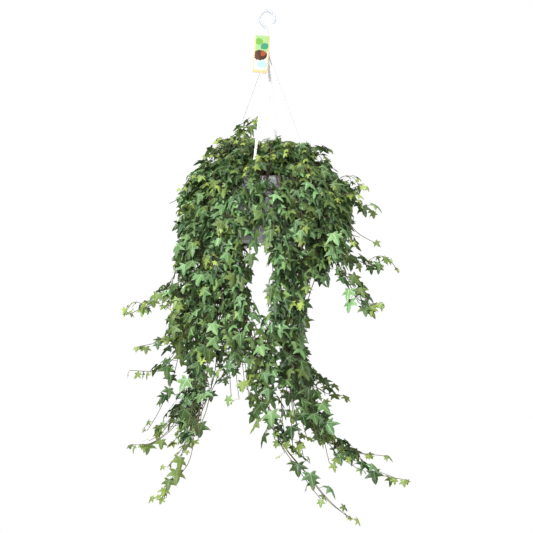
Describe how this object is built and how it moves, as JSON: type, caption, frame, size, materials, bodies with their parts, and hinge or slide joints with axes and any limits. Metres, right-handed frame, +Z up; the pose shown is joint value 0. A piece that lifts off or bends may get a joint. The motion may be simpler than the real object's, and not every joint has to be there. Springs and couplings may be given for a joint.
{
  "type": "potted trailing ivy in a hanging pot",
  "caption": "Trailing ivy with lobed leaves, rooted in a white hanging pot with a saucer, held by a moulded strap hanger that ends in a hook and carries a plant label.",
  "frame": {"origin": "top inside the hook, at the point that rests on whatever the pot hangs from", "axes": "+Z up, opposite to gravity as it hangs; -Y towards the front, +X to the right seen from the front"},
  "size_m": [0.8058, 0.4847, 1.4324],
  "materials": {
    "pot_plastic": "moulded white plastic, soft sheen",
    "saucer_plastic": "moulded white plastic, soft sheen",
    "hanger_plastic": "moulded white plastic, soft sheen",
    "label_plastic": "printed plastic card in greens, brown, pale blue and tan, without lettering",
    "potting_mix": "dark crumbly potting mix",
    "ivy": "living ivy: deep green lobed leaves with pale veins, yellow-green when young, on brown stems"
  },
  "bodies": {
    "root": {"pot": "pot_plastic", "saucer": "saucer_plastic", "soil": "potting_mix", "hanger": "hanger_plastic", "tag": "label_plastic", "shoot_01": "ivy", "shoot_02": "ivy", "shoot_03": "ivy", "shoot_04": "ivy", "shoot_05": "ivy", "shoot_06": "ivy", "shoot_07": "ivy", "shoot_08": "ivy", "shoot_09": "ivy", "shoot_10": "ivy", "shoot_11": "ivy", "shoot_12": "ivy", "shoot_13": "ivy", "shoot_14": "ivy", "shoot_15": "ivy", "shoot_16": "ivy", "shoot_17": "ivy", "shoot_18": "ivy", "shoot_19": "ivy", "shoot_20": "ivy", "shoot_21": "ivy", "shoot_22": "ivy", "shoot_23": "ivy", "shoot_24": "ivy", "shoot_25": "ivy", "shoot_26": "ivy", "shoot_27": "ivy", "shoot_28": "ivy", "shoot_29": "ivy", "shoot_30": "ivy", "shoot_31": "ivy", "shoot_32": "ivy", "shoot_33": "ivy", "shoot_34": "ivy", "shoot_35": "ivy", "shoot_36": "ivy", "shoot_37": "ivy", "shoot_38": "ivy", "shoot_39": "ivy", "shoot_40": "ivy", "shoot_41": "ivy", "shoot_42": "ivy", "shoot_43": "ivy", "shoot_44": "ivy", "shoot_45": "ivy", "shoot_46": "ivy", "shoot_47": "ivy", "shoot_48": "ivy"}
  },
  "joints": []
}
